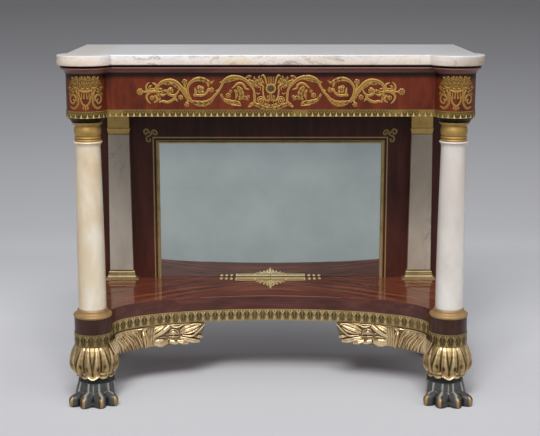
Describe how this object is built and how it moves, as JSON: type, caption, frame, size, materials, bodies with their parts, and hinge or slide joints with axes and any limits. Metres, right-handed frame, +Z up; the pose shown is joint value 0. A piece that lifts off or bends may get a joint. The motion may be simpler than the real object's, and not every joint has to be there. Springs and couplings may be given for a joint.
{
  "type": "pier table",
  "caption": "Marble-topped wall table on stone columns, with a mirror at the back, a concave shelf below and gilded leaf-carved lion-paw feet.",
  "frame": {"origin": "on the floor, in the middle of the table's overall width and depth", "axes": "+X along the table's width, +Y from the front towards the wall, +Z up"},
  "size_m": [1.103, 0.5098, 0.93],
  "materials": {
    "marble": "polished cream-white marble with faint grey veins",
    "alabaster": "polished honey-coloured alabaster",
    "grey_marble": "polished grey-white veined marble",
    "mahogany": "polished red-brown figured veneer",
    "shelf_mahogany": "polished dark purplish-brown veneer",
    "ebonised": "black stained and polished",
    "gilt": "water gilded, rubbed",
    "carved_gilt": "carved and gilded, burnished on the high places",
    "dark_paw": "carved, dark green-black paint, waxed",
    "gilt_claw": "gilded over dark paint, worn",
    "brass_border": "stamped ornamental band, dark in the hollows",
    "brass_line": "plain, polished",
    "mirror": "silvered plate",
    "pine": "plain, unfinished",
    "iron": "plain, dark"
  },
  "bodies": {
    "root": {"back_rail_bottom": "shelf_mahogany", "back_rail_top": "mahogany", "back_stile_left": "mahogany", "back_stile_right": "mahogany", "claws_left": "gilt_claw", "claws_right": "gilt_claw", "column_base_left": "gilt", "column_base_right": "gilt", "column_capital_left": "gilt", "column_capital_right": "gilt", "column_shaft_left": "alabaster", "column_shaft_right": "alabaster", "cornice_front": "mahogany", "cornice_left": "mahogany", "cornice_right": "mahogany", "drum_borders": "brass_border", "drum_soffit_left": "ebonised", "drum_soffit_right": "ebonised", "frieze_border_front": "brass_border", "frieze_drum_left": "mahogany", "frieze_drum_right": "mahogany", "frieze_rail_front": "mahogany", "frieze_rail_left": "mahogany", "frieze_rail_right": "mahogany", "glue_blocks": "pine", "knee_left": "carved_gilt", "knee_right": "carved_gilt", "marble_top": "marble", "mirror_backboard": "pine", "mirror_curls": "brass_line", "mirror_plate": "mirror", "mirror_slip": "gilt", "mirror_stringing": "brass_line", "paw_left": "dark_paw", "paw_right": "dark_paw", "pilaster_base_left": "gilt", "pilaster_base_right": "gilt", "pilaster_capital_left": "gilt", "pilaster_capital_right": "gilt", "pilaster_shaft_left": "grey_marble", "pilaster_shaft_right": "grey_marble", "plinth_borders": "brass_border", "plinth_drum_left": "shelf_mahogany", "plinth_drum_right": "shelf_mahogany", "rear_foot_left": "ebonised", "rear_foot_right": "ebonised", "shelf_board": "shelf_mahogany", "shelf_border": "brass_border", "shelf_braces": "pine", "shelf_fascia": "shelf_mahogany", "shelf_side_left": "shelf_mahogany", "shelf_side_right": "shelf_mahogany", "sub_top_board": "ebonised", "tie_rod_nuts": "iron", "tie_rod_washers": "iron", "tie_rods": "iron", "top_braces": "pine", "wing_left": "carved_gilt", "wing_right": "carved_gilt"}
  },
  "joints": []
}
